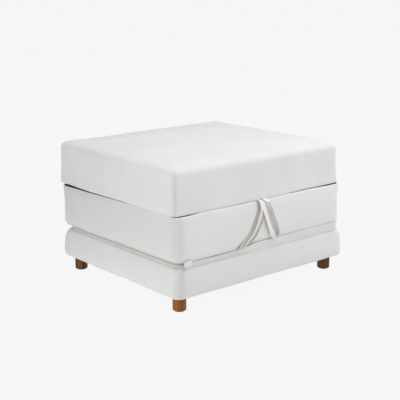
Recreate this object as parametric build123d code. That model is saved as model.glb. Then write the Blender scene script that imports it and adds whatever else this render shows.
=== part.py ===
from build123d import *
import math
import os

os.makedirs("parts", exist_ok=True)

# A fold out guest bed that closes into an ottoman: three padded sections in a stack.
# The base stands on four legs. The middle section is hinged to the base along the front,
# and the top section to the middle one along the back, each by a sewn strip of cloth.
# Millimetres, +Z up, the floor at Z 0, the front at -Y. The origin is under the centre.

# Outer sizes of the top section, and how far the two below differ from it
TOP_WIDTH = 718.0
TOP_DEPTH = 628.0
MIDDLE_WIDER = 2.0
MIDDLE_DEEPER = 3.0
BASE_WIDER = 24.0
BASE_DEEPER = 16.0
TOP_THICK = 140.8
MIDDLE_THICK = 144.6
BASE_THICK = 106.6
TOP_CROWN = 4.5
LEG_SHOWN = 51.8

# How the sections lie on each other when folded
REST_GAP = 0.4
FOLD_GAP = 6.0
MIDDLE_SET_BACK = 7.0
TOP_SET_BACK = 16.0
MIDDLE_OFF_X = -7.0
TOP_OFF_X = -12.0

# Soft edges: corners seen from above, and the long edges
TOP_CORNER_R = 28.0
MIDDLE_CORNER_R = 32.0
BASE_CORNER_R = 34.0
TOP_EDGE_SHARE = 0.85
MIDDLE_LOW_R = 18.0
CRISP_EDGE = 1.5
BASE_SHOULDER_SHARE = 0.78
BASE_HEM_R = 6.0
BASE_FLARE = 6.0
BASE_TUCK = 1.5
BASE_WIDEST = 24.0

# Cloth, seams and the clearance between pieces
COVER_WALL = 3.0
PANEL_THICK = 2.0
FIT = 0.3
OVERRUN = 5.0
SHOULDER_SEAM = 7.0
HEM_RETURN = 18.0

# Base frame of softwood rails with a plywood deck
FOAM_SIDE = 8.0
RAIL_THICK = 20.0
RAIL_HIGH = 45.0
DECK_THICK = 9.0
BLOCK_SIDE = 60.0
SCREW_SHANK_R = 2.0
SCREW_HEAD_R = 4.0
SCREW_HEAD_HIGH = 3.0
SCREW_BITE = 38.0
SCREW_SPACING = 24.0
SCREW_FIT = 0.1

# Turned legs with a hanger bolt, a pronged nut and a glide each
LEG_R = 21.0
LEG_EDGE = 1.5
LEG_TOP_CHAMFER = 1.5
LEG_INSET_X = 50.0
LEG_INSET_Y = 54.0
GLIDE_R = 16.0
GLIDE_THICK = 2.5
BOLT_R = 4.0
BOLT_IN_LEG = 26.0
BOLT_IN_BLOCK = 30.0
NUT_BARREL_R = 5.2
NUT_BARREL = 12.0
NUT_FLANGE_R = 9.5
NUT_FLANGE = 1.6

# Hinge strips of doubled cloth along the front and the back
STRIP_THICK = 2.4
STRIP_END_INSET = 37.0
LOWER_STRIP_UP = 11.0
LOWER_STRIP_DOWN = 11.0
UPPER_STRIP_UP = 11.0
UPPER_STRIP_DOWN = 11.0

# Cotton webbing: a tail sewn down the front, and a pull loop that stands off it
WEBBING = 2.2
TAIL_WIDTH = 25.0
TAIL_TOP_X = -30.0
TAIL_TOP_DROP = 5.0
TAIL_MID_X = -46.0
TAIL_LOW_X = -101.0
TAIL_LOW_UP = 12.0
TAIL_MID_SHARE = 0.5
LOOP_WIDTH = 14.0
LOOP_LEFT_X = -12.0
LOOP_RIGHT_X = 18.0
LOOP_LEAN = 34.0
LOOP_TOP_DROP = 4.0
LOOP_LENGTH_SHARE = 0.765

# Zips on the right-hand side of the middle and top covers
ZIP_END_INSET = 45.0
ZIP_TAPE_HIGH = 22.0
ZIP_TAPE_THICK = 1.2
ZIP_EDGE = 22.0
CHAIN_HIGH = 5.0
CHAIN_PROUD = 1.0
SLIDER_LONG = 12.0
SLIDER_HIGH = 8.0
SLIDER_THICK = 2.6
SLIDER_END = 14.0
PULL_LONG = 18.0
PULL_WIDE = 6.0
PULL_THICK = 1.2
PULL_HOLE_R = 1.6

# Bevel of a hidden or low edge: its share of the radius that it stands in for, and degrees
BEVEL_SHARE = 0.6
BEVEL_ANGLE_DEG = 45

# Crown of the top section: how far in each step lies, and how much of the crown it has
CROWN_STEP_SHARES = ((0.13, 0.0), (0.3, 0.55), (0.5, 0.85), (0.72, 1.0))

# Sizes that follow the top section's
middle_width = TOP_WIDTH + MIDDLE_WIDER
middle_depth = TOP_DEPTH + MIDDLE_DEEPER
base_width = TOP_WIDTH + BASE_WIDER
base_depth = TOP_DEPTH + BASE_DEEPER
strip_length = middle_width - 2 * STRIP_END_INSET
zip_length = TOP_DEPTH - 2 * ZIP_END_INSET
top_edge_r = TOP_EDGE_SHARE * TOP_CORNER_R
shoulder_r = BASE_SHOULDER_SHARE * (BASE_CORNER_R - BASE_FLARE)

# Levels, from the floor up
base_low = LEG_SHOWN
base_high = base_low + BASE_THICK
middle_low = base_high + REST_GAP
middle_high = middle_low + MIDDLE_THICK
top_low = middle_high + REST_GAP
top_high = top_low + TOP_THICK
lower_axis_z = base_high + REST_GAP / 2
lower_strip_low = lower_axis_z - LOWER_STRIP_DOWN
lower_strip_high = lower_axis_z + LOWER_STRIP_UP
upper_axis_z = middle_high + REST_GAP / 2

# Fronts and backs, with the whole depth centred on the origin
loop_proud = LOOP_WIDTH + FIT - MIDDLE_SET_BACK
strip_proud = FIT + STRIP_THICK
depth_all = loop_proud + TOP_SET_BACK + TOP_DEPTH + strip_proud
base_front = loop_proud - depth_all / 2
base_back = base_front + base_depth
middle_front = base_front + MIDDLE_SET_BACK
middle_back = middle_front + middle_depth
webbing_y = middle_front - FIT
top_front = base_front + TOP_SET_BACK
top_back = top_front + TOP_DEPTH
base_mid_y = (base_front + base_back) / 2
middle_mid_y = (middle_front + middle_back) / 2
top_mid_y = (top_front + top_back) / 2
lower_axis_y = (base_front + middle_front - FOLD_GAP) / 2
upper_axis_y = (middle_back + top_back + FOLD_GAP) / 2


def plan(width, depth, corner):
    """A section from above, with rounded corners."""
    return RectangleRounded(width, depth, corner)


def slab(width, depth, corner, low, high):
    """A plain block of a section's outline between two levels."""
    return Pos(0, 0, low) * extrude(plan(width, depth, corner), amount=high - low)


def top_edges(shape):
    return shape.faces().sort_by(Axis.Z)[-1].edges()


def low_edges(shape):
    return shape.faces().sort_by(Axis.Z)[0].edges()


def layer_above(body, amount, taper):
    """A body with one more layer on its top face, drawn in by a taper."""
    return body + extrude(body.faces().sort_by(Axis.Z)[-1], amount=amount, taper=taper)


def layer_below(body, amount, taper):
    """A body with one more layer under its lowest face, drawn in by a taper."""
    return body + extrude(body.faces().sort_by(Axis.Z)[0], amount=amount, taper=taper)


def crown(width, depth, corner, level, rise):
    """The domed part of a cushion's top, which leaves its edges straight."""
    steps = []
    for inset_share, rise_share in CROWN_STEP_SHARES:
        inset = inset_share * depth / 2
        step = plan(width - 2 * inset, depth - 2 * inset, corner)
        steps.append(Pos(0, 0, level + rise_share * rise) * step)
    return loft(steps, ruled=True)


def top_form(inset, low, low_edge):
    """The top section's form, drawn in by an inset all round but at its open underside."""
    width = TOP_WIDTH - 2 * inset
    depth = TOP_DEPTH - 2 * inset
    high = top_high - inset
    body = slab(width, depth, TOP_CORNER_R - inset, low, high)
    body = fillet(top_edges(body), top_edge_r - inset)
    if low_edge:
        body = chamfer(low_edges(body), low_edge)
    body += crown(width, depth, TOP_CORNER_R - inset, high, TOP_CROWN)
    return Pos(TOP_OFF_X, top_mid_y, 0) * body


def middle_outside():
    """The middle section's outer form."""
    body = slab(middle_width, middle_depth, MIDDLE_CORNER_R, middle_low, middle_high)
    body = fillet(low_edges(body), MIDDLE_LOW_R)
    body = chamfer(top_edges(body), CRISP_EDGE)
    return Pos(MIDDLE_OFF_X, middle_mid_y, 0) * body


def middle_inside(inset, high):
    """The middle section's form within its cover, up to a level."""
    width = middle_width - 2 * inset
    depth = middle_depth - 2 * inset
    body = slab(width, depth, MIDDLE_CORNER_R - inset, middle_low + inset, high)
    body = chamfer(low_edges(body), (MIDDLE_LOW_R - inset) * BEVEL_SHARE)
    return Pos(MIDDLE_OFF_X, middle_mid_y, 0) * body


def base_form(inset):
    """The base's form: widest low down, leaning in towards its shoulder."""
    widest = base_low + BASE_WIDEST
    off = 2 * inset
    line = Pos(0, 0, widest) * plan(base_width - off, base_depth - off, BASE_CORNER_R - inset)
    shoulder = (shoulder_r - inset) * BEVEL_SHARE
    hem = (BASE_HEM_R - inset) * BEVEL_SHARE
    rise = base_high - inset - widest
    fall = widest - base_low - inset - hem
    lean = math.degrees(math.atan2(BASE_FLARE, base_high - widest))
    tuck = math.degrees(math.atan2(BASE_TUCK, BASE_WIDEST))
    if inset:
        body = extrude(line, amount=rise - shoulder, taper=lean)
        body = layer_above(body, shoulder, BEVEL_ANGLE_DEG)
    else:
        body = extrude(line, amount=rise, taper=lean)
        body = fillet(top_edges(body), shoulder_r)
    body += extrude(line, amount=fall, dir=(0, 0, -1), taper=tuck)
    body = layer_below(body, hem, BEVEL_ANGLE_DEG)
    return Pos(0, base_mid_y, 0) * body


def base_slab(inset, low, high):
    """A block of the base's outline, in from its widest line by an inset."""
    corner = BASE_CORNER_R - min(inset, BASE_CORNER_R / 2)
    outline = slab(base_width - 2 * inset, base_depth - 2 * inset, corner, low, high)
    return Pos(0, base_mid_y, 0) * outline


def block_between(x0, x1, y0, y1, z0, z1):
    """A square-edged block between two corners."""
    centre = Pos((x0 + x1) / 2, (y0 + y1) / 2, (z0 + z1) / 2)
    return centre * Box(x1 - x0, y1 - y0, z1 - z0)


def upright(x, y, z0, z1, radius):
    """A round bar standing between two levels."""
    bar = Cylinder(radius, z1 - z0, align=(Align.CENTER, Align.CENTER, Align.MIN))
    return Pos(x, y, z0) * bar


# Frame levels and faces, inside the base's cover
lining = COVER_WALL + FIT
rail_low = base_low + lining
rail_high = rail_low + RAIL_HIGH
deck_low = rail_high + FIT
deck_high = deck_low + DECK_THICK
frame_inset = lining + BASE_FLARE + FOAM_SIDE
frame_x = base_width / 2 - frame_inset
frame_front = base_front + frame_inset
frame_back = base_back - frame_inset
block_x = frame_x - RAIL_THICK - FIT
block_front = frame_front + RAIL_THICK + FIT
block_back = frame_back - RAIL_THICK - FIT
leg_x = base_width / 2 - LEG_INSET_X
leg_ys = (base_front + LEG_INSET_Y, base_back - LEG_INSET_Y)
leg_places = {
    "front_left": (-leg_x, leg_ys[0]),
    "front_right": (leg_x, leg_ys[0]),
    "back_left": (-leg_x, leg_ys[1]),
    "back_right": (leg_x, leg_ys[1]),
}
leg_top = rail_low - FIT
screw_z = (rail_low + rail_high) / 2
screw_x = frame_x - RAIL_THICK / 2


def screw(x, y, z, sign, grow):
    """A countersunk screw driven along Y from a rail's outer face; grow makes its hole."""
    shank = Cylinder(SCREW_SHANK_R + grow, RAIL_THICK + SCREW_BITE + grow,
                     align=(Align.CENTER, Align.CENTER, Align.MIN))
    head = Cone(SCREW_HEAD_R + grow, SCREW_SHANK_R + grow, SCREW_HEAD_HIGH,
                align=(Align.CENTER, Align.CENTER, Align.MIN))
    body = shank + head
    return Pos(x, y, z) * Rot(-90 * sign, 0, 0) * body


def frame_screws(grow):
    """Two screws at each end of the front and back rails, into the side rails."""
    screws = []
    for y, sign in ((frame_front, 1), (frame_back, -1)):
        for x in (-screw_x, screw_x):
            for z in (screw_z - SCREW_SPACING / 2, screw_z + SCREW_SPACING / 2):
                screws.append(screw(x, y, z, sign, grow))
    return screws


def cut_all(body, tools):
    for tool in tools:
        body -= tool
    return body


def rails():
    """Long front and back rails, side rails between them, and one cross rail."""
    inner_front = frame_front + RAIL_THICK + FIT
    inner_back = frame_back - RAIL_THICK - FIT
    side = frame_x - RAIL_THICK
    half_cross = RAIL_THICK / 2
    level = (rail_low, rail_high)
    made = {
        "base_rail_front": block_between(-frame_x, frame_x, frame_front,
                                         frame_front + RAIL_THICK, *level),
        "base_rail_back": block_between(-frame_x, frame_x, frame_back - RAIL_THICK,
                                        frame_back, *level),
        "base_rail_left": block_between(-frame_x, -side, inner_front, inner_back, *level),
        "base_rail_right": block_between(side, frame_x, inner_front, inner_back, *level),
        "base_cross_rail": block_between(-half_cross, half_cross, inner_front,
                                         inner_back, *level),
    }
    holes = frame_screws(SCREW_FIT)
    return {name: cut_all(rail, holes) for name, rail in made.items()}


def block_corner(x, y):
    """One corner block inside the frame, with the leg bolt's hole and the nut's seat."""
    x_side = math.copysign(1, x)
    x_outer = x_side * block_x
    x_inner = x_side * (block_x - BLOCK_SIDE)
    if y < 0:
        y_outer = block_front
        y_inner = block_front + BLOCK_SIDE
    else:
        y_outer = block_back
        y_inner = block_back - BLOCK_SIDE
    body = block_between(min(x_outer, x_inner), max(x_outer, x_inner),
                         min(y_outer, y_inner), max(y_outer, y_inner),
                         rail_low, rail_high)
    inner_edge = body.edges().filter_by(Axis.Z).sort_by_distance((0, 0, rail_low))[0]
    body = chamfer(inner_edge, BLOCK_SIDE / 3)
    body -= upright(x, y, rail_low - OVERRUN, rail_high + OVERRUN, BOLT_R + FIT)
    body -= upright(x, y, rail_high - NUT_BARREL - FIT, rail_high + OVERRUN,
                    NUT_BARREL_R + FIT)
    body -= upright(x, y, rail_high - NUT_FLANGE - FIT, rail_high + OVERRUN,
                    NUT_FLANGE_R + FIT)
    return body


def pronged_nut(x, y):
    """The steel nut let into the top of a corner block."""
    flange_low = rail_high - NUT_FLANGE
    body = upright(x, y, flange_low, rail_high, NUT_FLANGE_R)
    body += upright(x, y, rail_high - NUT_BARREL, flange_low, NUT_BARREL_R)
    return body - upright(x, y, rail_low, rail_high + OVERRUN, BOLT_R + FIT)


def leg(x, y):
    """A turned round leg, eased at the foot, bored for its bolt."""
    low = GLIDE_THICK
    body = upright(0, 0, low, leg_top, LEG_R)
    body = chamfer(low_edges(body), LEG_EDGE)
    body = chamfer(top_edges(body), LEG_TOP_CHAMFER)
    body -= upright(0, 0, leg_top - BOLT_IN_LEG - FIT, leg_top + OVERRUN, BOLT_R + FIT)
    return Pos(x, y, 0) * body


def leg_bolt(x, y):
    """The hanger bolt between a leg and its corner block."""
    body = upright(x, y, leg_top - BOLT_IN_LEG, leg_top + BOLT_IN_BLOCK, BOLT_R)
    return chamfer(top_edges(body), BOLT_R / 4)


def leg_glide(x, y):
    """The felt disc under a leg."""
    return upright(x, y, 0, GLIDE_THICK, GLIDE_R)


def base_pieces():
    """Everything that stays on the floor when the bed opens."""
    outer = base_form(0)
    skin = outer - base_form(COVER_WALL)
    mouth = base_slab(HEM_RETURN, base_low - OVERRUN,
                      base_low + COVER_WALL + OVERRUN)
    seam_inset = BASE_FLARE + SHOULDER_SEAM
    lid = base_slab(seam_inset, base_high - BASE_THICK / 2, base_high + OVERRUN)
    lid_hole = base_slab(seam_inset - FIT, base_high - BASE_THICK / 2, base_high + OVERRUN)
    cover = skin - mouth - lid_hole
    top_panel = skin & lid
    hollow = block_between(-frame_x - FIT, frame_x + FIT, frame_front - FIT,
                           frame_back + FIT, base_low - OVERRUN, deck_high + FIT)
    foam = base_form(lining) - hollow
    deck = block_between(-frame_x, frame_x, frame_front, frame_back, deck_low, deck_high)
    cloth = base_slab(HEM_RETURN + FIT, base_low,
                      base_low + COVER_WALL - FIT)
    leg_holes = [upright(x, y, 0, base_high, LEG_R + FIT) for x, y in leg_places.values()]
    pieces = {
        "base_cover": cover,
        "base_top_panel": top_panel,
        "base_foam": foam,
        "base_deck": deck,
        "base_dust_cover": cut_all(cloth, leg_holes),
    }
    pieces.update(rails())
    pieces["frame_screws"] = Compound(children=frame_screws(0))
    for name, (x, y) in leg_places.items():
        pieces["leg_" + name] = leg(x, y)
    pieces["corner_blocks"] = Compound(children=[block_corner(*p) for p in leg_places.values()])
    pieces["leg_nuts"] = Compound(children=[pronged_nut(*p) for p in leg_places.values()])
    pieces["leg_bolts"] = Compound(children=[leg_bolt(*p) for p in leg_places.values()])
    pieces["leg_glides"] = Compound(children=[leg_glide(*p) for p in leg_places.values()])
    return pieces


def zip_parts(face_x, mid_y, level):
    """A zip set in a cover's right-hand wall: its opening, its tapes and its slider."""
    half = zip_length / 2
    tape_x = face_x - ZIP_TAPE_THICK
    opening = block_between(face_x - COVER_WALL - OVERRUN, face_x + OVERRUN,
                            mid_y - half, mid_y + half,
                            level - ZIP_TAPE_HIGH / 2, level + ZIP_TAPE_HIGH / 2)
    tape = block_between(tape_x, tape_x + ZIP_TAPE_THICK,
                         mid_y - half + FIT, mid_y + half - FIT,
                         level + FIT - ZIP_TAPE_HIGH / 2, level - FIT + ZIP_TAPE_HIGH / 2)
    chain_x = tape_x + ZIP_TAPE_THICK
    chain = block_between(tape_x, chain_x + CHAIN_PROUD,
                          mid_y - half + SLIDER_END, mid_y + half - SLIDER_END,
                          level - CHAIN_HIGH / 2, level + CHAIN_HIGH / 2)
    slider_x = chain_x + CHAIN_PROUD + FIT
    slider_y = mid_y - half + SLIDER_END + SLIDER_LONG / 2
    slider = Pos(slider_x + SLIDER_THICK / 2, slider_y, level) * Box(
        SLIDER_THICK, SLIDER_LONG, SLIDER_HIGH)
    slider = fillet(slider.edges().filter_by(Axis.X), SLIDER_HIGH / 4)
    pull = Pos(slider_x + SLIDER_THICK + PULL_THICK / 2, slider_y, level - PULL_LONG / 2) * Box(
        PULL_THICK, PULL_WIDE, PULL_LONG)
    pull = fillet(pull.edges().filter_by(Axis.X), PULL_WIDE / 3)
    hole_place = Pos(slider_x + SLIDER_THICK, slider_y, level - PULL_LONG + PULL_WIDE)
    pull -= hole_place * Rot(0, 90, 0) * Cylinder(PULL_HOLE_R, PULL_THICK * 3)
    return opening, tape + chain, slider + pull


def section_pieces():
    """The covers, cores, undersides and zips of the two sections that fold out."""
    middle_zip_z = middle_high - ZIP_EDGE
    top_zip_z = top_low + ZIP_EDGE
    middle_right = MIDDLE_OFF_X + middle_width / 2
    top_right = TOP_OFF_X + TOP_WIDTH / 2
    middle_slot, middle_zip, middle_slider = zip_parts(middle_right, middle_mid_y, middle_zip_z)
    top_slot, top_zip, top_slider = zip_parts(top_right, top_mid_y, top_zip_z)
    middle_cover = middle_outside() - middle_inside(COVER_WALL, middle_high + OVERRUN)
    top_cover = top_form(0, top_low, CRISP_EDGE) - top_form(COVER_WALL, top_low - OVERRUN, 0)
    middle_panel = slab(middle_width - 2 * lining, middle_depth - 2 * lining,
                        MIDDLE_CORNER_R - lining, middle_high - PANEL_THICK, middle_high)
    top_panel = slab(TOP_WIDTH - 2 * lining, TOP_DEPTH - 2 * lining,
                     TOP_CORNER_R - lining, top_low, top_low + PANEL_THICK)
    return {
        "middle_cover": middle_cover - middle_slot,
        "middle_foam": middle_inside(lining, middle_high - PANEL_THICK - FIT),
        "middle_underside": Pos(MIDDLE_OFF_X, middle_mid_y, 0) * middle_panel,
        "middle_zip": middle_zip,
        "middle_zip_slider": middle_slider,
        "top_cover": top_cover - top_slot,
        "top_foam": top_form(lining, top_low + PANEL_THICK + FIT, 0),
        "top_underside": Pos(TOP_OFF_X, top_mid_y, 0) * top_panel,
        "top_zip": top_zip,
        "top_zip_slider": top_slider,
    }


def hinge_strip(low_point, mid_point, high_point, out):
    """A doubled strip of cloth, bowed outwards between its two seams, in Y and Z."""
    points = (low_point, mid_point, high_point)
    outer_points = [(y + out * STRIP_THICK, z) for y, z in points]
    inner = ThreePointArc(*points)
    outer = ThreePointArc(*outer_points)
    foot = Line(low_point, outer_points[0])
    head = Line(high_point, outer_points[2])
    face = make_face(Curve() + [inner, head, outer, foot])
    bar = extrude(Plane.YZ * face, amount=strip_length)
    return Pos(MIDDLE_OFF_X - strip_length / 2, 0, 0) * bar


def shoulder_y(level):
    """The front of the base's round shoulder at a level."""
    widest = base_low + BASE_WIDEST
    slope = BASE_FLARE / (base_high - widest)
    centre_in = BASE_FLARE + shoulder_r * (math.hypot(1, slope) - slope)
    rise = level - (base_high - shoulder_r)
    return base_front + centre_in - math.sqrt(shoulder_r**2 - rise**2)


def middle_low_y(level):
    """The front of the middle section's round lower edge at a level."""
    drop = middle_low + MIDDLE_LOW_R - level
    return middle_front + MIDDLE_LOW_R - math.sqrt(MIDDLE_LOW_R**2 - drop**2)


def strip_pieces():
    """The two cloth hinges."""
    low = (shoulder_y(lower_strip_low) - FIT, lower_strip_low)
    high = (middle_low_y(lower_strip_high) - FIT, lower_strip_high)
    mid = (lower_axis_y + STRIP_THICK, lower_axis_z)
    lower = hinge_strip(low, mid, high, -1)
    low = (middle_back + FIT, upper_axis_z - UPPER_STRIP_DOWN)
    mid = (top_back + FIT, upper_axis_z)
    high = (top_back + FIT, upper_axis_z + UPPER_STRIP_UP)
    upper = hinge_strip(low, mid, high, 1)
    return {"lower_hinge_strip": lower, "upper_hinge_strip": upper}


def webbing_pieces():
    """The webbing tail and the pull loop on the middle section's front."""
    top_z = middle_high - TAIL_TOP_DROP
    low_z = middle_low + TAIL_LOW_UP
    mid_z = low_z + TAIL_MID_SHARE * (top_z - low_z)
    path = ThreePointArc((TAIL_TOP_X, top_z), (TAIL_MID_X, mid_z), (TAIL_LOW_X, low_z))
    tail = extrude(Plane.XZ * trace(path, TAIL_WIDTH), amount=WEBBING)
    tail = Pos(0, webbing_y, 0) * tail
    tail -= block_between(TAIL_LOW_X - TAIL_WIDTH, TAIL_TOP_X, webbing_y - LOOP_WIDTH,
                          webbing_y + WEBBING, base_high, lower_strip_high + FIT)
    loop_top = middle_high - LOOP_TOP_DROP
    loop_low = loop_top - LOOP_LENGTH_SHARE * MIDDLE_THICK
    reach = (LOOP_RIGHT_X - LOOP_LEFT_X) / 2
    left_top = (LOOP_LEFT_X, loop_top)
    left_low = (LOOP_LEFT_X + LOOP_LEAN, loop_low)
    right_low = (LOOP_RIGHT_X + LOOP_LEAN, loop_low)
    right_top = (LOOP_RIGHT_X, loop_top)
    bottom = (LOOP_LEFT_X + LOOP_LEAN + reach, loop_low - reach)
    line = Curve() + [
        Line(left_top, left_low),
        ThreePointArc(left_low, bottom, right_low),
        Line(right_low, right_top),
    ]
    loop = extrude(Plane.XZ * trace(line, WEBBING), amount=LOOP_WIDTH)
    loop = Pos(0, webbing_y, 0) * loop
    return {"strap_tail": tail, "pull_loop": loop}


pieces = base_pieces()
pieces.update(section_pieces())
pieces.update(strip_pieces())
pieces.update(webbing_pieces())
for name, piece in pieces.items():
    export_step(piece, "parts/" + name + ".step")
print("lower fold line, Y and Z:", round(lower_axis_y, 3), round(lower_axis_z, 3))
print("upper fold line, Y and Z:", round(upper_axis_y, 3), round(upper_axis_z, 3))
print("feet, X and Y:", round(leg_x, 3), [round(y, 3) for y in leg_ys])
zip_travel = zip_length - 2 * SLIDER_END - SLIDER_LONG
print("zip slider travel:", round(zip_travel, 3))
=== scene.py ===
import math

import bpy
import numpy as np
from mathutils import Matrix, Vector, noise

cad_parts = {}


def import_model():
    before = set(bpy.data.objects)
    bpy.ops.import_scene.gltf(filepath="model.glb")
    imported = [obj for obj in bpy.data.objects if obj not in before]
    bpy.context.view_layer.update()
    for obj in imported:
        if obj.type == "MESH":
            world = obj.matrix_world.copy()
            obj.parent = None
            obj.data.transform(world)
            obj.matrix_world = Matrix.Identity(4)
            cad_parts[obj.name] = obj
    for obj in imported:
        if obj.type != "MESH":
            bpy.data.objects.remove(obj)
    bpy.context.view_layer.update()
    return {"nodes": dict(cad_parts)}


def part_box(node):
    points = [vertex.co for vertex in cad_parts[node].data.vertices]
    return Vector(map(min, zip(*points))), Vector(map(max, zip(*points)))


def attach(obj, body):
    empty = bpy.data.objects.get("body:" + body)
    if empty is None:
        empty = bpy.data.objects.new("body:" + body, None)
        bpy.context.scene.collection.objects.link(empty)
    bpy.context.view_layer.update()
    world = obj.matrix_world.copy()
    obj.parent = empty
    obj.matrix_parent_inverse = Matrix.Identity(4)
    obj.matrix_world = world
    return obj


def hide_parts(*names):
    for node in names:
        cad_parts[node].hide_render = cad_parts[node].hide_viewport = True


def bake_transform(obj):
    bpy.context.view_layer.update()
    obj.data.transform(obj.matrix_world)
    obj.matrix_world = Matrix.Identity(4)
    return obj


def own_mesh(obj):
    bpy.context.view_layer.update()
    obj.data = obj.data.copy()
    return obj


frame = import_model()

# A fold out guest bed that closes into an ottoman: padded base, middle and top sections,
# two cloth hinges, webbing and zips. Metres, the floor at Z 0, the front at -Y.
MM = 0.001

# The camera of the photograph, found from the object's straight edges and feet
CAMERA_AT = (-1.9677, -2.2968, 0.9894)
CAMERA_AZIMUTH = -40.395
CAMERA_ELEVATION = 13.876
CAMERA_LENS = 82.48
CAMERA_SENSOR = 36.0

# Mesh spacing of the soft forms before they are subdivided
GRID = 15 * MM
CORNER_STEPS = 3
CLOTH_THICK = 2.4 * MM

# Corners seen from above, and the rounding of the long edges. Where four are given they go
# anticlockwise from the front left
TOP_CORNERS = (17 * MM, 26 * MM, 28 * MM, 26 * MM)
MIDDLE_CORNERS = (25 * MM, 32 * MM, 32 * MM, 32 * MM)
BASE_CORNERS = (30 * MM, 36 * MM, 36 * MM, 36 * MM)
LEAST_R = 4 * MM
TOP_EDGE_R = 22 * MM
TOP_CROWN = 4.5 * MM
CROWN_REACH = 130 * MM
MIDDLE_LOW_R = 16 * MM
MIDDLE_LOW_CORNERS = (44 * MM, 50 * MM, 60 * MM, 60 * MM)
BASE_SHOULDER_R = 22 * MM
BASE_SHOULDER_CORNERS = (26 * MM, 44 * MM, 44 * MM, 46 * MM)
BASE_HIGH_CORNERS = (40 * MM, 78 * MM, 80 * MM, 92 * MM)
BASE_FLARE = 6 * MM
BASE_WIDEST = 24 * MM
BASE_TUCK = 1.5 * MM
BASE_HEM = 4 * MM
HEM_RETURN = 18 * MM
FOAM_INSET = 7.5 * MM

# How much smaller each section starts than its finished size, and its cloth simulation:
# frames, air pressure, and how far a point may move
TOP_SLACK = 0.2 * MM
TOP_LEAN = 1.6 * MM
MIDDLE_SLACK = 0.8 * MM
BASE_SLACK = 1.6 * MM
FRAMES = 20
PRESSURE = 4.0
CLOTH_QUALITY = 5
CLOTH_MASS = 0.3
TOP_SWELL = 3.2 * MM
MIDDLE_SWELL = 2.6 * MM
BASE_SWELL = 2.2 * MM

# The white cloth turns over onto the hidden faces: under the top section, and onto the
# middle one's upper face, where it is wider along the front. A rise or fall is given by
# where it starts and how long it is
TOP_TURN = 8 * MM
MIDDLE_TURN = 2.6 * MM
FRONT_LEDGE = 6 * MM
MIDDLE_LEDGE = 11 * MM
LEDGE_RISE = (-290 * MM, 70 * MM)
LEDGE_FALL = (200 * MM, 80 * MM)
LINE_LIFT = 1.8 * MM
LINE_RISE = (-100 * MM, 300 * MM)
PIPING_R = 2.1 * MM
PIPING_AIM = 300 * MM
PIPING_SUNK = 0.6 * MM
# Painted shade: the middle cover's sides and back are darkened by this tint, starting this far
# behind its front and fading in over this distance
SIDE_SHADE_TONE = (0.885, 0.885, 0.89)
PANEL_START = 3 * MM
PANEL_FADE = 24 * MM
STRIP_THICK = 1.6 * MM
STRIP_STEPS = 72
STRIP_BUMP = (34 * MM, 0.7 * MM)
HEM_SIDES = 16
SHEET_THICK = 1.6 * MM

# How far in from a section's outline, and how far up or down its sides, its shape still
# follows the gap between the top and middle sections
RIM = 20 * MM
RIM_FADE = 120 * MM
TOP_FADE = 90 * MM
MIDDLE_FADE = 70 * MM

# Unevenness of each cover, as size, depth and seed; its seams' gathers, by depth and pitch
TOP_BUMPS = ((190 * MM, 2.2 * MM, 1), (60 * MM, 0.7 * MM, 2))
MIDDLE_BUMPS = ((170 * MM, 1.8 * MM, 3), (55 * MM, 0.6 * MM, 4))
BASE_BUMPS = ((150 * MM, 1.6 * MM, 5), (50 * MM, 0.6 * MM, 6))
GATHERS = (0.9 * MM, 16 * MM)
GATHER_BIAS = 0.35
NOISE_SHIFT = (3.1, 1.7, 0.9)
FOAM_LIFT = 7 * MM

# How dark the painted shade is on the rings of the base's top sheet, from its seam inwards:
# the shade of the groove under the middle section
GROOVE_SHADES = (0.15, 0.5, 0.9, 1.0, 1.0, 1.0)

# Corners where the top and middle sections part: how far, how far that reaches along the
# front or back and along the side, and the top section's share of it
PARTINGS = (
    ((-1, 1), 9.4 * MM, 260 * MM, 410 * MM, 0.25),
    ((-1, -1), 3.6 * MM, 85 * MM, 70 * MM, 0.5),
    ((1, -1), 3.4 * MM, 120 * MM, 200 * MM, 0.8),
    ((1, 1), 3.0 * MM, 200 * MM, 200 * MM, 0.5),
)


def lerp(a, b, t):
    return a + (b - a) * t


def smooth(t):
    t = min(1.0, max(0.0, t))
    return t * t * (3 - 2 * t)


def eased(x, start, length):
    """Rises smoothly from 0 at the start to 1 a length further on."""
    return smooth((x - start) / length)


def new_object(name, verts, faces, material=None):
    """A smooth-shaded mesh object in the scene."""
    mesh = bpy.data.meshes.new(name)
    mesh.from_pydata([tuple(v) for v in verts], [], faces)
    mesh.update()
    mesh.shade_smooth()
    if material:
        mesh.materials.append(material)
    return linked(name, mesh)


def linked(name, data):
    """A new object in the scene for a mesh, a light or a camera."""
    obj = bpy.data.objects.new(name, data)
    bpy.context.scene.collection.objects.link(obj)
    return obj


def aimed(obj, at, direction):
    """Puts a light or a camera in its place, looking in a direction."""
    obj.location = at
    obj.rotation_mode = "QUATERNION"
    obj.rotation_quaternion = direction.to_track_quat("-Z", "Y")


def mark(obj, name, values):
    """Stores one number at each of a mesh's points."""
    layer = obj.data.attributes.new(name, "FLOAT", "POINT")
    layer.data.foreach_set("value", values)


def joined(rings, n, first=0):
    """The faces between successive rings of n points each."""
    faces = []
    for low in range(first, first + (rings - 1) * n, n):
        for i in range(n):
            j = (i + 1) % n
            faces.append((low + i, low + j, low + n + j, low + n + i))
    return faces


def closed(rings, n):
    """The faces of a solid with one outline of n points at every ring."""
    last = (rings - 1) * n
    return joined(rings, n) + [tuple(range(n))[::-1], tuple(range(last, last + n))]


def given(obj, body, node=None):
    """Says which body a piece moves with, and the CAD node that it stands for."""
    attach(obj, body)
    if node:
        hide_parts(node)


def vectors(items, key):
    """The vectors of a mesh's points or normals, one in each row."""
    values = np.zeros(len(items) * 3)
    items.foreach_get(key, values)
    return values.reshape(-1, 3)


def coords(obj):
    return vectors(obj.data.vertices, "co")


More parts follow.
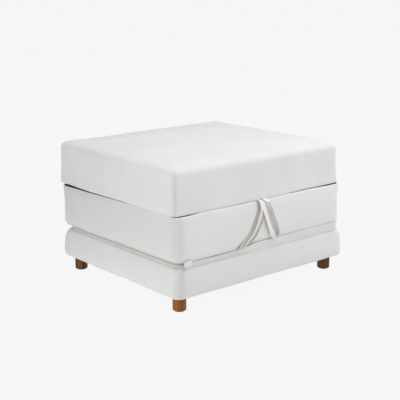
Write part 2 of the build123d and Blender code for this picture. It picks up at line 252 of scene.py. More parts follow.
def pushed(obj, move):
    """Moves a mesh's points along their normals, each by its own distance."""
    co = coords(obj) + vectors(obj.data.vertex_normals, "vector") * np.array(move)[:, None]
    obj.data.vertices.foreach_set("co", co.ravel())
    obj.data.update()


def applied(obj):
    """Applies an object's modifiers."""
    graph = bpy.context.evaluated_depsgraph_get()
    done = bpy.data.meshes.new_from_object(
        obj.evaluated_get(graph), preserve_all_data_layers=True, depsgraph=graph)
    old = obj.data
    obj.modifiers.clear()
    obj.data = done
    done.name = obj.name
    bpy.data.meshes.remove(old)
    done.shade_smooth()


def subdivided(obj):
    step = obj.modifiers.new("subdivide", "SUBSURF")
    step.levels = 1
    step.render_levels = 1
    applied(obj)


def thickened(obj, thick):
    step = obj.modifiers.new("thick", "SOLIDIFY")
    step.thickness = thick
    step.offset = -1.0
    step.use_even_offset = False
    applied(obj)


def on_arc(centre, radius, angle):
    return centre[0] + radius * math.cos(angle), centre[1] + radius * math.sin(angle)


def outline(half_x, half_y, radii, nx, ny, nc):
    """A rounded rectangle's points, anticlockwise from the middle of its front left corner."""
    signs = ((-1, -1), (1, -1), (1, 1), (-1, 1))
    radii = [max(r, LEAST_R) for r in radii]
    centres = [(sx * (half_x - r), sy * (half_y - r)) for (sx, sy), r in zip(signs, radii)]
    eighth = math.pi / 4
    points = []
    for side in range(4):
        here, there = centres[side], centres[(side + 1) % 4]
        r, q = radii[side], radii[(side + 1) % 4]
        first = math.radians(225 + 90 * side)
        turned = first + eighth
        start, end = on_arc(here, r, turned), on_arc(there, q, turned)
        count = nx if side % 2 == 0 else ny
        points += [on_arc(here, r, first + eighth * i / nc) for i in range(nc)]
        points += [(lerp(start[0], end[0], i / count), lerp(start[1], end[1], i / count))
                   for i in range(count)]
        points += [on_arc(there, q, turned + eighth * i / nc) for i in range(nc)]
    return np.array(points)


def filled(ring, sx, sy):
    """A grid of points inside a ring that has sx and sy steps on its sides."""
    front = ring[: sx + 1]
    right = ring[sx: sx + sy + 1]
    back = ring[sx + sy: 2 * sx + sy + 1][::-1]
    left = np.vstack([ring[2 * sx + sy:], ring[:1]])[::-1]
    u = np.linspace(0, 1, sx + 1)[:, None, None]
    v = np.linspace(0, 1, sy + 1)[None, :, None]
    rows = (1 - v) * front[:, None] + v * back[:, None]
    cols = (1 - u) * left[None] + u * right[None]
    ties = (1 - u) * (1 - v) * front[0] + u * (1 - v) * front[-1]
    ties = ties + (1 - u) * v * back[0] + u * v * back[-1]
    return rows + cols - ties


class Form:
    """A closed soft form: rings of points at levels, filled at both ends."""

    def __init__(self, name, place, corners, levels, rise=None):
        centre, half_x, half_y = place
        corner = max(corners)
        self.name = name
        self.centre = centre
        self.half = (half_x, half_y)
        self.corners = corners
        self.levels = levels
        nx = max(2, round(2 * (half_x - corner) / GRID))
        ny = max(2, round(2 * (half_y - corner) / GRID))
        self.sx = nx + 2 * CORNER_STEPS
        self.sy = ny + 2 * CORNER_STEPS
        self.per_ring = 2 * (self.sx + self.sy)
        verts = []
        for inset, z, *own in levels:
            radii = own[0] if own else [c - inset for c in corners]
            ring = outline(half_x - inset, half_y - inset, radii, nx, ny, CORNER_STEPS)
            verts += [(centre[0] + x, centre[1] + y, z) for x, y in ring]
        faces = joined(len(levels), self.per_ring)
        self.ring_faces = len(faces)
        self.low_fill = self.fill(verts, faces, 0, False)
        self.high_fill = self.fill(verts, faces, len(levels) - 1, True)
        self.verts = np.array(verts, float)
        self.faces = faces
        if rise:
            self.verts[:, 2] += [rise(self, p) for p in self.verts]

    def fill(self, verts, faces, level, up):
        """Closes one end with a grid, and returns the range of its faces."""
        n, sx, sy = self.per_ring, self.sx, self.sy
        ring = np.array([v[:2] for v in verts[level * n: (level + 1) * n]])
        z = verts[level * n][2]
        grid = filled(ring, sx, sy)
        rim = [(i, 0) for i in range(sx)] + [(sx, j) for j in range(sy)]
        rim += [(sx - i, sy) for i in range(sx)] + [(0, sy - j) for j in range(sy)]
        index = np.zeros((sx + 1, sy + 1), int)
        for number, place in enumerate(rim):
            index[place] = level * n + number
        for i in range(1, sx):
            for j in range(1, sy):
                index[i, j] = len(verts)
                verts.append((*grid[i, j], z))
        first = len(faces)
        for i in range(sx):
            for j in range(sy):
                quad = (index[i, j], index[i + 1, j], index[i + 1, j + 1], index[i, j + 1])
                faces.append(quad if up else quad[::-1])
        return range(first, len(faces))

    def edge_distance(self, p):
        """How far in from the outline a point lies, seen from above."""
        dx = self.half[0] - abs(p[0] - self.centre[0])
        dy = self.half[1] - abs(p[1] - self.centre[1])
        return max(0.0, min(dx, dy))

    def near_edge(self, p):
        """A share that falls from one at the outline to nothing well inside it."""
        return 1 - eased(self.edge_distance(p), RIM, RIM_FADE)

    def part(self, name, keep, material):
        """A new object from the faces that keep accepts by their number."""
        used = {}
        faces = []
        for number, face in enumerate(self.faces):
            if keep(number):
                faces.append(tuple(used.setdefault(v, len(used)) for v in face))
        order = sorted(used, key=used.get)
        obj = new_object(name, self.verts[order], faces, material)
        mark(obj, "seam", [self.seam[v] for v in order])
        return obj

    def mark_seams(self, rings):
        """Seam strength at each point: one on a seam's ring, less on its neighbours."""
        self.seam = np.zeros(len(self.verts))
        n = self.per_ring
        for ring in rings:
            for near, value in ((-1, 0.4), (1, 0.4), (0, 1.0)):
                k = ring + near
                if 0 <= k < len(self.levels):
                    here = self.seam[k * n: (k + 1) * n]
                    self.seam[k * n: (k + 1) * n] = np.maximum(here, value)


def inflated(form, held, cap):
    """Blows a form up as cloth under light pressure, and keeps a capped share of it."""
    obj = new_object(form.name + "_cloth", form.verts, form.faces)
    group = obj.vertex_groups.new(name="held")
    group.add([i for i, p in enumerate(form.verts) if held(i, p)], 1.0, "REPLACE")
    cloth = obj.modifiers.new("cloth", "CLOTH")
    cloth.settings.quality = CLOTH_QUALITY
    cloth.settings.mass = CLOTH_MASS
    cloth.settings.use_pressure = True
    cloth.settings.uniform_pressure_force = PRESSURE
    cloth.settings.effector_weights.gravity = 0
    cloth.settings.vertex_group_mass = "held"
    cloth.collision_settings.use_collision = False
    cloth.point_cache.frame_start = 1
    cloth.point_cache.frame_end = FRAMES
    scene = bpy.context.scene
    for step in range(1, FRAMES + 1):
        scene.frame_set(step)
    graph = bpy.context.evaluated_depsgraph_get()
    blown = obj.evaluated_get(graph).to_mesh()
    move = vectors(blown.vertices, "co") - form.verts
    size = np.linalg.norm(move, axis=1, keepdims=True)
    form.verts = form.verts + move / np.maximum(size, 1e-9) * cap * np.tanh(size / cap)
    mesh = obj.data
    bpy.data.objects.remove(obj)
    bpy.data.meshes.remove(mesh)
    scene.frame_set(1)


def uneven(obj, size, depth, seed):
    """Moves a mesh's points along their normals by smooth noise."""
    off = Vector([seed * shift for shift in NOISE_SHIFT])
    pushed(obj, [noise.noise(Vector(p) / size + off) * depth for p in coords(obj)])


def puckered(obj, depth, pitch, seed):
    """Small gathers across a seam, strongest at the seam itself."""
    co = coords(obj)
    seam = np.zeros(len(co))
    obj.data.attributes["seam"].data.foreach_get("value", seam)
    move = []
    for p, s in zip(co, seam):
        along = noise.noise(Vector((p[0] / pitch, p[1] / pitch, seed)))
        move.append((along - GATHER_BIAS) * depth * s)
    pushed(obj, move)


def parting(form, p, top):
    """How far the top or the middle section draws back from the other, by place in plan."""
    total = 0.0
    for (sx, sy), gap, reach_x, reach_y, share in PARTINGS:
        away_x = abs(p[0] - form.centre[0] - sx * form.half[0]) / reach_x
        away_y = abs(p[1] - form.centre[1] - sy * form.half[1]) / reach_y
        part = share if top else 1 - share
        total += gap * part * max(0.0, 1 - away_x) * max(0.0, 1 - away_y)
    return total


def line_lift(form, p):
    """The line between the top and middle sections rises a little towards the front right."""
    forward = (form.centre[1] - p[1]) / form.half[1]
    return LINE_LIFT * eased(p[0], *LINE_RISE) * smooth(forward)


def span(node, slack):
    """A node's centre in plan, its half sizes less some slack, and its lowest and highest level."""
    lo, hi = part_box(node)
    centre = ((lo.x + hi.x) / 2, (lo.y + hi.y) / 2)
    return centre, (hi.x - lo.x) / 2 - slack, (hi.y - lo.y) / 2 - slack, lo.z, hi.z


def arc_levels(inset, z, radius, start, end, steps):
    """Levels round an edge: start and end in degrees, 0 outwards and 90 upwards."""
    made = []
    for i in range(steps + 1):
        a = math.radians(lerp(start, end, i / steps))
        made.append((inset + radius * (1 - math.cos(a)), z + radius * math.sin(a)))
    return made


def rounder(levels, first, last):
    """The same levels with corner radii of their own, which go from first to last."""
    steps = max(1, len(levels) - 1)
    shares = [1 - (1 - k / steps) ** 2 for k in range(len(levels))]
    return [(inset, z, [lerp(a, b, share) for a, b in zip(first, last)])
            for share, (inset, z) in zip(shares, levels)]


def rising(low, high, inset_low, inset_high):
    """Levels up a side, between two heights and without either end."""
    count = max(2, round((high - low) / GRID))
    return [(lerp(inset_low, inset_high, i / count), lerp(low, high, i / count))
            for i in range(1, count)]


class Shading:
    """A new material, with short ways to add its nodes and link them."""

    def __init__(self, name, rough=0.85, sheen=0.0):
        self.material = bpy.data.materials.new(name)
        self.material.use_nodes = True
        self.nodes = self.material.node_tree.nodes
        self.links = self.material.node_tree.links
        self.bsdf = self.nodes["Principled BSDF"]
        self.set("Roughness", rough)
        if sheen:
            self.set("Sheen Weight", sheen)
            self.set("Sheen Roughness", 0.5)
        texture = self.nodes.new("ShaderNodeTexCoord").outputs
        self.place = texture["Object"]
        self.facing = texture["Normal"]

    def feed(self, socket, value):
        """Links a socket to another node's output, or sets it to a plain value."""
        if isinstance(value, bpy.types.NodeSocket):
            self.links.new(value, socket)
        else:
            socket.default_value = value

    def set(self, name, value):
        self.feed(self.bsdf.inputs[name], value)

    def add(self, kind, **values):
        node = self.nodes.new("ShaderNode" + kind)
        for key, value in values.items():
            if hasattr(node, key):
                setattr(node, key, value)
            else:
                self.feed(node.inputs[key], value)
        return node

    def noise(self, vector, **values):
        return self.add("TexNoise", Vector=vector, **values)

    def maths(self, operation, a, b):
        node = self.add("Math", operation=operation)
        self.feed(node.inputs[0], a)
        self.feed(node.inputs[1], b)
        return node.outputs[0]

    def scaled(self, value, times, plus):
        return self.maths("ADD", self.maths("MULTIPLY", value, times), plus)

    def vector(self, operation, a, b=None, scale=None):
        node = self.add("VectorMath", operation=operation)
        self.feed(node.inputs[0], a)
        if b is not None:
            self.feed(node.inputs[1], b)
        if scale is not None:
            node.inputs["Scale"].default_value = scale
        return node.outputs["Vector"]

    def tinted(self, factor, colour, tint):
        """A colour multiplied by a tint, as far as the factor says."""
        node = self.add("Mix", data_type="RGBA", blend_type="MULTIPLY")
        self.feed(node.inputs["Factor"], factor)
        self.feed(node.inputs["A"], colour)
        self.feed(node.inputs["B"], tint)
        return node.outputs["Result"]

    def marked(self, name):
        return self.add("Attribute", attribute_name=name).outputs["Fac"]

    def ramp(self, factor, *stops):
        node = self.add("ValToRGB", Fac=factor)
        for element, (place, colour) in zip(node.color_ramp.elements, stops):
            element.position = place
            element.color = (*colour, 1)
        return node.outputs["Color"]

    def bump(self, height, strength, distance):
        node = self.add("Bump", Strength=strength, Distance=distance, Height=height)
        self.set("Normal", node.outputs["Normal"])


def darker(colour, times):
    return tuple(min(1.0, c * times) for c in colour)


def woven(name, colour, pitch=1.3 * MM, tilt=0.16, sheen=0.2, rough=0.88,
          vary=0.025, seam_and_shade_tint=(0.93, 0.92, 0.9), fuzz=0.25):
    """Woven cloth: crossing threads, loose fibres and faint colour variation; darkened where
    marked, as wear and painted shade at seams and as painted shade elsewhere.
    """
    made = Shading(name, rough, sheen)
    wobble = made.noise(made.place, Scale=45.0, Detail=2.0)
    bent = made.vector("SCALE", wobble.outputs["Color"], scale=2.5 * MM)
    moved = made.vector("ADD", made.place, bent)
    angle = made.vector("SCALE", moved, scale=2 * math.pi / pitch)
    squared = made.vector("MULTIPLY", made.facing, made.facing)
    against = made.vector("SCALE", squared, scale=-1.0)
    across = made.vector("ADD", against, (1.0, 1.0, 1.0))
    slopes = made.vector("MULTIPLY", made.vector("COSINE", angle), across)
    slopes = made.vector("SCALE", slopes, scale=tilt)
    fibres = made.noise(made.place, Scale=900.0, Detail=2.0)
    centred = made.vector("SUBTRACT", fibres.outputs["Color"], (0.5, 0.5, 0.5))
    lean = made.vector("ADD", slopes, made.vector("SCALE", centred, scale=fuzz))
    turned = made.add("VectorTransform", vector_type="VECTOR", convert_from="OBJECT",
                      convert_to="WORLD", Vector=lean)
    face = made.add("NewGeometry").outputs["Normal"]
    tipped = made.vector("ADD", face, turned.outputs[0])
    made.set("Normal", made.vector("NORMALIZE", tipped))
    patches = made.noise(made.place, Scale=7.0, Detail=4.0, Roughness=0.6)
    tone = made.ramp(patches.outputs["Fac"], (0.3, darker(colour, 1 - vary)),
                     (0.7, darker(colour, 1 + vary)))
    crossings = made.vector("MULTIPLY", made.vector("SINE", angle), across)
    parts = made.add("SeparateXYZ", Vector=crossings).outputs
    crossed = made.maths("ADD", made.maths("ADD", parts[0], parts[1]), parts[2])
    tone = made.tinted(1.0, tone, made.scaled(crossed, 0.02, 0.98))
    # Darkens where marked: at the covers' seams this is wear and painted shade, elsewhere painted
    # shade
    tone = made.tinted(made.marked("seam"), tone, (*seam_and_shade_tint, 1))
    # Painted shade on the middle cover's sides and back
    tone = made.tinted(made.marked("side_shade"), tone, (*SIDE_SHADE_TONE, 1))
    made.set("Base Color", tone)
    return made.material


def paint_side_shade(obj, form):
    """Marks a cover's sides and back, which take painted shade and so are darker than its front."""
    front = form.centre[1] - form.half[1]
    mark(obj, "side_shade", [smooth((p[1] - front - PANEL_START) / PANEL_FADE) for p in coords(obj)])


def foam_material(name, colour):
    """Open-cell foam."""
    made = Shading(name, 0.95)
    cells = made.add("TexVoronoi", Vector=made.place, Scale=500.0).outputs["Distance"]
    made.set("Base Color", made.ramp(cells, (0.0, darker(colour, 0.8)), (0.5, colour)))
    made.bump(cells, 0.5, 0.4 * MM)
    return made.material


def wood(name, light, dark, grain, axis, rough=0.5, rings=40.0, shine=0.5):
    """Wood with its grain along one axis."""
    made = Shading(name, rough)
    made.set("Specular IOR Level", shine)
    scale = [1.0, 1.0, 1.0]
    scale[axis] = 0.08
    stretch = made.add("Mapping", Vector=made.place, Scale=scale).outputs["Vector"]
    warp = made.noise(stretch, Scale=rings, Detail=5.0, Distortion=0.6)
    fine = made.noise(stretch, Scale=grain, Detail=6.0, Roughness=0.65)
    mixed = made.maths("ADD", made.maths("MULTIPLY", warp.outputs["Fac"], 0.6),
                       made.maths("MULTIPLY", fine.outputs["Fac"], 0.4))
    made.set("Base Color", made.ramp(mixed, (0.36, dark), (0.64, light)))
    made.set("Roughness", made.scaled(mixed, 0.2, rough - 0.1))
    made.bump(mixed, 0.35, 0.3 * MM)
    return made.material


def metal(name, colour, rough=0.35):
    """Brushed metal with faint scratches."""
    made = Shading(name, rough)
    made.set("Metallic", 1.0)
    marks = made.noise(made.place, Scale=900.0, Detail=3.0).outputs["Fac"]
    made.set("Base Color", made.ramp(marks, (0.3, darker(colour, 0.75)), (0.7, colour)))
    made.set("Roughness", made.scaled(marks, 0.25, rough - 0.1))
    return made.material


white_top = woven("white_cloth_top", (0.80, 0.80, 0.805))
# The middle cover's white is a little lighter, painted light on its front; its sides and back take
# painted shade from the side tint
white_middle = woven("white_cloth_middle", (0.835, 0.828, 0.82))
white_base = woven("white_cloth_base", (0.80, 0.798, 0.796))
# The base's top sheet; its dark tint paints the groove's shade onto the sheet's rim
beige = woven("beige_cloth", (0.87, 0.845, 0.82), pitch=1.0 * MM, sheen=0.15,
              seam_and_shade_tint=(0.57, 0.54, 0.51))
black = woven("black_cloth", (0.018, 0.018, 0.02), pitch=0.9 * MM, sheen=0.1)
# The hinge strips' cloth, a little greyer than the covers, which partly paints the shade of the
# groove the front strip lies in; its tint darkens the sunk band as painted shade
strip_cloth = woven("strip_cloth", (0.765, 0.763, 0.757), pitch=1.0 * MM,
                    seam_and_shade_tint=(0.90, 0.90, 0.895))
cream = woven("cream_piping", (0.80, 0.77, 0.735), pitch=0.8 * MM)
# The tail's webbing; its tint paints shade along the fold's ridge and near the top
tape_webbing = woven("webbing", (0.68, 0.655, 0.63), pitch=1.6 * MM, sheen=0.1,
                     seam_and_shade_tint=(0.60, 0.56, 0.52))
# The loop's webbing is set very light, which partly paints out the shadow its right strand casts on
# the left one; its tint paints shade on the right strand
loop_webbing = woven("loop_webbing", (0.93, 0.925, 0.91), pitch=1.6 * MM, sheen=0.1,
                     seam_and_shade_tint=(0.62, 0.60, 0.58))
# Cloth for the sheet that paints the tail's shadow on the middle section's face
tail_shadow_cloth = woven("tail_shadow_cloth", (0.78, 0.772, 0.766), seam_and_shade_tint=(0.60, 0.56, 0.53))
zip_cloth = woven("zip_cloth", (0.72, 0.71, 0.68), pitch=0.7 * MM)
foam = foam_material("foam", (0.78, 0.70, 0.50))
leg_wood = wood("leg_wood", (0.38, 0.15, 0.030), (0.15, 0.05, 0.010), 260.0, 2, rough=0.6,
                rings=60.0, shine=0.2)
# A darker copy of the leg wood for the other three legs: painted shade, as the base shadows them
shaded_leg_wood = wood("shaded_leg_wood", (0.20, 0.085, 0.025), (0.06, 0.025, 0.008), 260.0, 2,
                     rough=0.6, rings=60.0, shine=0.2)
pine = wood("pine", (0.62, 0.44, 0.24), (0.44, 0.27, 0.12), 160.0, 0)
plywood = wood("plywood", (0.66, 0.50, 0.32), (0.50, 0.35, 0.20), 120.0, 0)
steel = metal("steel", (0.55, 0.55, 0.56))
zip_metal = metal("zip_metal", (0.62, 0.62, 0.60), rough=0.28)
felt = woven("felt", (0.10, 0.09, 0.08), pitch=0.8 * MM)


def finish_cover(obj, body, bumps):
    """Last steps that every cover shares: thickness, one subdivision and small unevenness."""
    thickened(obj, CLOTH_THICK)
    subdivided(obj)
    for size, depth, seed in bumps:
        uneven(obj, size, depth, seed)
    puckered(obj, *GATHERS, bumps[0][2])
    given(obj, body, body + "_cover")


def core(name, source, levels, body, node):
    """A foam core inside a cover."""
    made = Form(name, (source.centre, *source.half), source.corners, levels)
    made.mark_seams(())
    obj = made.part(name, lambda number: True, foam)
    subdivided(obj)
    given(obj, body, node)


def top_rise(form, p):
    high = form.levels[-1][1]
    if p[2] < high - 1e-6:
        return 0.0
    return TOP_CROWN * eased(form.edge_distance(p), TOP_EDGE_R, CROWN_REACH)


def make_top():
    centre, half_x, half_y, low, high = span("top_cover", TOP_SLACK)
    flat = high - TOP_CROWN
    shoulder = flat - TOP_EDGE_R
    levels = [(16 * MM, low), (TOP_TURN, low), (1.6 * MM, low + 0.1 * MM),
              (0.4 * MM, low + 0.5 * MM), (0, low + 1.8 * MM)]
    levels += rising(low + 1.8 * MM, shoulder, 0, TOP_LEAN)
    levels += arc_levels(TOP_LEAN, shoulder, TOP_EDGE_R, 0, 90, 7)
    levels += [(46 * MM, flat)]
    form = Form("top", (centre, half_x, half_y), TOP_CORNERS, levels, top_rise)
    form.mark_seams((1,))
    n = form.per_ring

    def held(i, p):
        return p[2] < low + 1 * MM or n <= i < 5 * n

    inflated(form, held, TOP_SWELL)
    for p in form.verts:
        fade = (1 - eased(p[2], low, TOP_FADE)) * form.near_edge(p)
        p[2] += (parting(form, p, True) + line_lift(form, p)) * fade
    low_faces = set(form.low_fill)
    cover = form.part("top_cover_cloth", lambda k: k not in low_faces and k >= n, white_top)
    under = form.part("top_underside_cloth", lambda k: k in low_faces or k < n, black)
    finish_cover(cover, "top", TOP_BUMPS)
    make_sheet(under, "top", "top_underside")
    foam_low = low + FOAM_LIFT
    foam_levels = [(FOAM_INSET + 2 * MM, foam_low), (FOAM_INSET, foam_low + 2 * MM)]
    foam_levels += rising(foam_low + 2 * MM, shoulder, FOAM_INSET, FOAM_INSET)
    foam_levels += arc_levels(FOAM_INSET, shoulder, TOP_EDGE_R - FOAM_INSET, 0, 90, 5)
    core("top_foam_core", form, foam_levels, "top", "top_foam")


def make_sheet(obj, body, node):
    """A flat panel of cloth stretched over a core."""
    thickened(obj, SHEET_THICK)
    subdivided(obj)
    given(obj, body, node)


def middle_levels(low, high):
    """The middle section's rings, and the numbers of its piping ring and last white one."""
    arc = arc_levels(0, low + MIDDLE_LOW_R, MIDDLE_LOW_R, -90, 0, 6)
    levels = [(30 * MM, low, MIDDLE_LOW_CORNERS)]
    levels += rounder(arc, MIDDLE_LOW_CORNERS, MIDDLE_CORNERS)
    levels += rising(low + MIDDLE_LOW_R, high - 4 * MM, 0, 0)
    levels += [(0, high - 4 * MM), (0.2 * MM, high - 2 * MM), (1.0 * MM, high - 0.5 * MM),
               (MIDDLE_TURN, high), (18 * MM, high)]
    return levels, 4, len(levels) - 2


def make_middle():
    centre, half_x, half_y, low, high = span("middle_cover", MIDDLE_SLACK)
    levels, piping, turn = middle_levels(low, high)
    form = Form("middle", (centre, half_x, half_y), MIDDLE_CORNERS, levels)
    form.mark_seams((piping, turn))
    n = form.per_ring
    rings = len(levels) * n

    def held(i, p):
        on_top = p[2] > high - 1.5 * MM
        on_bottom = p[2] < low + 0.5 * MM
        return on_top or on_bottom or i // n == piping and i < rings

    inflated(form, held, MIDDLE_SWELL)
    for i, p in enumerate(form.verts):
        fade = eased(p[2], high - MIDDLE_FADE, MIDDLE_FADE) * form.near_edge(p)
        p[2] -= (parting(form, p, False) - line_lift(form, p)) * fade
        if turn * n <= i < rings or i >= rings and p[2] > (low + high) / 2:
            forward = max(0.0, (centre[1] - p[1]) / half_y)
            between = eased(p[0], *LEDGE_RISE) - eased(p[0], *LEDGE_FALL)
            p[1] += (FRONT_LEDGE + MIDDLE_LEDGE * between) * forward
    high_faces = set(form.high_fill)
    edge = turn * n
    cover = form.part("middle_cover_cloth",
                      lambda k: k not in high_faces and (k < edge or k >= form.ring_faces),
                      white_middle)
    under = form.part("middle_underside_cloth",
                      lambda k: k in high_faces or edge <= k < form.ring_faces, black)
    finish_cover(cover, "middle", MIDDLE_BUMPS)
    paint_side_shade(cover, form)
    make_sheet(under, "middle", "middle_underside")
    inner_r = MIDDLE_LOW_R - FOAM_INSET
    foam_high = high - FOAM_LIFT
    arc = arc_levels(FOAM_INSET, low + MIDDLE_LOW_R, inner_r, -90, 0, 3)
    foam_levels = rounder(arc, MIDDLE_LOW_CORNERS, MIDDLE_CORNERS)
    foam_levels += rising(low + MIDDLE_LOW_R, foam_high, FOAM_INSET, FOAM_INSET)
    foam_levels += [(FOAM_INSET, foam_high - 1 * MM), (FOAM_INSET + 2 * MM, foam_high)]
    core("middle_foam_core", form, foam_levels, "middle", "middle_foam")
    make_piping(form, piping)


def make_piping(form, ring):
    """The corded seam round the middle section's lower edge, sunk towards a point above."""
    n = form.per_ring
    path = form.verts[ring * n: (ring + 1) * n].copy()
    inward = np.array([*form.centre, path[:, 2].mean() + PIPING_AIM]) - path
    path += inward / np.linalg.norm(inward, axis=1, keepdims=True) * PIPING_SUNK
    obj = hoop("middle_piping", path, PIPING_R, cream)
    given(obj, "middle")


def hoop(name, path, radius, material, sides=8):
    """A round cord along a closed path of points."""
    count = len(path)
    verts = []
    for i, p in enumerate(path):
        along = Vector(path[(i + 1) % count] - path[i - 1]).normalized()
        side = along.cross(Vector((0, 0, 1))).normalized()
        up = side.cross(along).normalized()
        for k in range(sides):
            a = 2 * math.pi * k / sides
            verts.append(Vector(p) + radius * (math.cos(a) * side + math.sin(a) * up))
    faces = [tuple(v % len(verts) for v in face) for face in joined(count + 1, sides)]
    return new_object(name, verts, faces, material)


def make_base():
    centre, half_x, half_y, low, _ = span("base_cover", BASE_SLACK)
    high = span("base_top_panel", 0)[4]
    widest = low + BASE_WIDEST
    shoulder = high - BASE_SHOULDER_R
    levels = [(HEM_RETURN + 3 * MM, low + 1.5 * MM), (14 * MM, low + 0.4 * MM),
              (BASE_TUCK + 5 * MM, low), (BASE_TUCK + 2 * MM, low + 1.2 * MM),
              (BASE_TUCK + 0.4 * MM, low + BASE_HEM), (0.4 * MM, low + 13 * MM), (0, widest)]
    levels += rising(widest, shoulder, 0, BASE_FLARE)
    arc = arc_levels(BASE_FLARE, shoulder, BASE_SHOULDER_R, 0, 90, 8)
    seam_ring = len(levels) + 3
    levels += rounder(arc, BASE_SHOULDER_CORNERS, BASE_HIGH_CORNERS)
    levels += [(BASE_FLARE + BASE_SHOULDER_R + 14 * MM, high, BASE_HIGH_CORNERS)]
    form = Form("base", (centre, half_x, half_y), BASE_CORNERS, levels)
    n = form.per_ring

    def held(i, p):
        if p[2] > high - 1 * MM or p[2] < low + 1.6 * MM:
            return True
        return i // n == seam_ring and i < len(levels) * n

    inflated(form, held, BASE_SWELL)
    low_faces = set(form.low_fill)
    high_faces = set(form.high_fill)
    seam_faces = seam_ring * n
    form.mark_seams((seam_ring, 3))
    cover = form.part(
        "base_cover_cloth",
        lambda k: k not in low_faces and k not in high_faces and k < seam_faces, white_base)
    # Painted shade: the top sheet's rings next to the groove are darkened as the groove's shade
    form.seam[:] = 0
    for ring, value in enumerate(GROOVE_SHADES, 1):
        form.seam[(seam_ring + ring) * n: (seam_ring + ring + 1) * n] = value
    sheet = form.part(
        "base_top_sheet",
        lambda k: k in high_faces or seam_faces <= k < form.ring_faces, beige)
    under = form.part("base_dust_cloth", lambda k: k in low_faces, black)
    finish_cover(cover, "base", BASE_BUMPS)
    make_sheet(sheet, "base", "base_top_panel")
    make_sheet(under, "base", "base_dust_cover")
    inner = BASE_SHOULDER_R - FOAM_INSET
    foam_levels = [(FOAM_INSET + 4 * MM, low + FOAM_INSET), (FOAM_INSET + 1 * MM, low + 8 * MM),
                   (FOAM_INSET, widest)]
    foam_levels += rising(widest, shoulder, FOAM_INSET, BASE_FLARE + FOAM_INSET)
    arc = arc_levels(BASE_FLARE + FOAM_INSET, shoulder, inner, 0, 90, 5)
    foam_levels += rounder(arc, BASE_SHOULDER_CORNERS, BASE_HIGH_CORNERS)
    core("base_foam_pad", form, foam_levels, "base", "base_foam")


make_top()
make_middle()
make_base()


def bar(name, stations, sections, ends, material, paint_shade=None):
    """A closed profile in Y and Z at stations along X: ends says how far some are drawn in,
    and the optional last function paints shade at a station."""
    verts = []
    count = len(sections[0])
    for i, (x, section) in enumerate(zip(stations, sections)):
        section = np.asarray(section, float)
        middle = section.mean(axis=0)
        ring = middle + (section - middle) * ends.get(i, 1.0)
        verts += [(x, y, z) for y, z in ring]
    faces = [(b, a, d, c) for a, b, c, d in joined(len(stations), count)]
    last = (len(stations) - 1) * count
    faces += [tuple(range(count)), tuple(range(last, last + count))[::-1]]
    obj = new_object(name, verts, faces, material)
    if paint_shade:
        mark(obj, "seam", [paint_shade(x) for x in stations for _ in range(count)])
    subdivided(obj)
    return obj


def strip_stations(x0, x1, last_gap):
    """Places along a strip, close together at its ends."""
    near = (0, 0.8 * MM, 3 * MM)
    made = [x0 + gap for gap in near]
    made += [lerp(x0 + 8 * MM, x1 - last_gap, i / STRIP_STEPS) for i in range(STRIP_STEPS + 1)]
    return made + [x1 - gap for gap in reversed(near)]


def strip_ends(stations, tip, near):
    """How far a strip is drawn in at the last two places on either end."""
    last = len(stations) - 1
    return {0: tip, 1: near, last: tip, last - 1: near}


# The front strip's top edge as X and Z, and how far its sunk and its flush part stand out
# from the line between its seams at shares of its height; distances in millimetres
STRIP_TOP = ((-340, 162), (-299, 161), (-236, 160.5), (-171, 160.5), (-130, 161.5),
             (-100, 164), (-80, 168), (-50, 173), (340, 175))
SUNK = ((0, 0.2), (0.14, 1.2), (0.36, 1.4), (0.60, -0.4), (0.82, -3.0), (1, -5.4))
FLUSH = ((0, 0.2), (0.14, 1.0), (0.36, 1.4), (0.60, 1.5), (0.82, 1.2), (1, 0.4))

# Where the sunk band turns flush, where its painted shade ends, and the bulge by the tail
FLUSH_RISE = (-185 * MM, 110 * MM)
STRIP_SHADE_TO = (-150 * MM, 90 * MM)
TUCK_AT = -105 * MM
TUCK_WIDTH = 45 * MM
TUCK_BULGE = 2.6 * MM


def strip_section(x, low, face, shoulder):
    """The front strip's closed profile at one station: a sunk band to the left of the tail,
    and a flush curtain to its right."""
    full = eased(x, *FLUSH_RISE)
    places, heights = zip(*STRIP_TOP)
    top = float(np.interp(x / MM, places, heights)) * MM
    tucked = math.exp(-((x - TUCK_AT) / TUCK_WIDTH) ** 2)
    front, back = [], []
    for (share, deep), (_, flat) in zip(SUNK, FLUSH):
        z = lerp(low, top, share)
        y = lerp(shoulder, face, share) - lerp(deep, flat, full) * MM
        bulge = TUCK_BULGE * tucked * math.sin(math.pi * share)
        front.append((y - bulge, z))
        back.append((y + STRIP_THICK * (0.5 if share in (0, 1) else 1), z))
    return front + back[::-1]


def lower_strip():
    lo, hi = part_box("lower_hinge_strip")
    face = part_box("middle_cover")[0].y + 0.6 * MM
    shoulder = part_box("base_cover")[0].y + 9.4 * MM
    x0, x1, low = lo.x + 6 * MM, hi.x + 10 * MM, lo.z - 4 * MM
    stations = strip_stations(x0, x1, 6 * MM)
    sections = [strip_section(x, low, face, shoulder) for x in stations]
    # The sunk band's left part is painted darker, as the shade of the groove it lies in
    obj = bar("lower_strip_cloth", stations, sections, strip_ends(stations, 0.5, 0.9),
              strip_cloth, lambda x: 1 - eased(x, *STRIP_SHADE_TO))
    uneven(obj, *STRIP_BUMP, 7)
    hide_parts("lower_hinge_strip")
    strip_bends(obj)
    strip_bends(strip_hem(lo, face))


def strip_bends(obj):
    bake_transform(obj)


# The hem's half depth and half height, the powers that square its outline, and how far
# it sinks in on its way to the right
HEM_DEPTH = 4.8 * MM
HEM_HEIGHT = 11 * MM
HEM_POWERS = (0.8, 0.9)
HEM_SINK = 4.5 * MM


